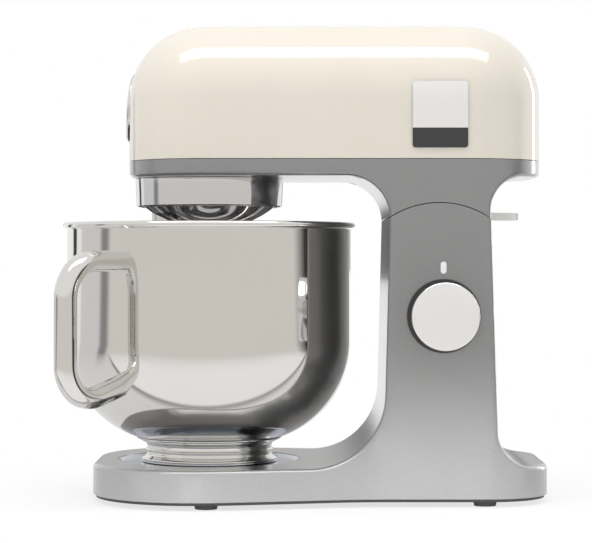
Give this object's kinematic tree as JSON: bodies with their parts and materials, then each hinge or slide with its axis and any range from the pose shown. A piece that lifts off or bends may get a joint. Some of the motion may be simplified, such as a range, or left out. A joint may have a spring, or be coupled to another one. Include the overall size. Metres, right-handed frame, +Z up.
{
  "type": "stand mixer",
  "caption": "Tilt-head stand mixer: cast stand, head with planetary drive and geared motor, speed knob, release lever, outlet cover and a twist-lock steel bowl with loop handle.",
  "frame": {"origin": "point on the table under the bowl and hub axis", "axes": "+Z up along the bowl axis, +X towards the column, -Y the side with the speed knob"},
  "size_m": [0.3601, 0.235, 0.349],
  "materials": {
    "silver_paint": "satin metallic paint",
    "cream_paint": "gloss paint",
    "polished_steel": "mirror polished",
    "seat_steel": "polished",
    "chrome": "polished",
    "lever_metal": "satin",
    "rubber": "matte",
    "black_plastic": "satin",
    "lens": "clear white",
    "dark_sheet": "matte paint",
    "steel": "machined",
    "cast_metal": "as cast",
    "bronze": "machined",
    "gear_plastic": "moulded",
    "lamination": "stacked sheet",
    "copper": "enamelled wire",
    "circuit_board": "laminate"
  },
  "bodies": {
    "stand": {"stand_casting": "silver_paint", "base_plate": "dark_sheet", "base_screws": "steel", "foot_front_left": "rubber", "foot_front_right": "rubber", "foot_rear_left": "rubber", "foot_rear_right": "rubber", "bowl_seat": "seat_steel", "seat_screws": "steel", "hinge_pin": "steel", "knob_ring": "black_plastic", "indicator_lens": "lens", "speed_control": "black_plastic", "control_board": "circuit_board", "cord_gland": "rubber"},
    "head": {"head_cover": "cream_paint", "head_chassis": "silver_paint", "chassis_screws": "steel", "outlet_ring": "chrome", "hinge_arms": "cast_metal", "hinge_bush_left": "bronze", "hinge_bush_right": "bronze", "lever_pin": "steel", "hub_collar": "chrome", "ring_gear": "gear_plastic", "gear_plate": "cast_metal", "hub_bearings": "steel", "idler_bushes": "bronze", "motor_core": "lamination", "field_coils": "copper", "motor_bracket_lower": "cast_metal", "motor_bracket_upper": "cast_metal", "motor_bearings": "steel", "brush_holders": "black_plastic"},
    "hub": {"planet_hub": "chrome", "hub_shaft": "steel", "output_gear": "gear_plastic"},
    "spindle": {"tool_spindle": "chrome", "planet_pinion": "steel"},
    "idler": {"idler_shaft": "steel", "idler_gear": "gear_plastic", "idler_pinion": "steel"},
    "rotor": {"motor_shaft": "steel", "armature": "lamination", "commutator": "copper", "motor_fan": "gear_plastic", "motor_pinion": "steel"},
    "lever": {"release_lever": "lever_metal"},
    "knob": {"speed_knob": "chrome"},
    "bowl": {"bowl": "polished_steel", "bowl_foot": "polished_steel", "bowl_handle": "polished_steel"},
    "outlet_cover": {"outlet_cover": "chrome"}
  },
  "joints": [
    {"name": "head_tilt", "type": "hinge", "parent": "stand", "child": "head", "pos_m": [0.1674, 0, 0.153], "axis": [0, 1, 0], "range_deg": [0, 42]},
    {"name": "hub_spin", "type": "hinge", "parent": "head", "child": "hub", "pos_m": [0, 0, 0.22], "axis": [0, 0, 1], "continuous": true},
    {"name": "spindle_spin", "type": "hinge", "parent": "hub", "child": "spindle", "pos_m": [-0.033, 0, 0.2], "axis": [0, 0, 1], "continuous": true},
    {"name": "idler_spin", "type": "hinge", "parent": "head", "child": "idler", "pos_m": [0.05625, 0, 0.25], "axis": [0, 0, 1], "continuous": true},
    {"name": "motor_spin", "type": "hinge", "parent": "head", "child": "rotor", "pos_m": [0.09375, 0, 0.3], "axis": [0, 0, 1], "continuous": true},
    {"name": "lever_lift", "type": "hinge", "parent": "head", "child": "lever", "pos_m": [0.184, 0, 0.224], "axis": [0, -1, 0], "range_deg": [0, 12], "stiffness_Nm_per_rad": 0.4, "springref_deg": -8.59},
    {"name": "knob_turn", "type": "hinge", "parent": "stand", "child": "knob", "pos_m": [0.1705, -0.09, 0.1367], "axis": [0, 1, 0], "range_deg": [-30, 240]},
    {"name": "bowl_twist", "type": "hinge", "parent": "stand", "child": "bowl", "pos_m": [0, 0, 0.03], "axis": [0, 0, 1], "range_deg": [0, 40]},
    {"name": "outlet_pull", "type": "slide", "parent": "head", "child": "outlet_cover", "axis": [-0.9969, 0, 0.0785], "range_m": [0, 0.03]}
  ],
  "couplings": [
    {"joint": "spindle_spin", "follows": "hub_spin", "ratio": -3.4444},
    {"joint": "idler_spin", "follows": "hub_spin", "ratio": -4},
    {"joint": "motor_spin", "follows": "hub_spin", "ratio": 16}
  ]
}
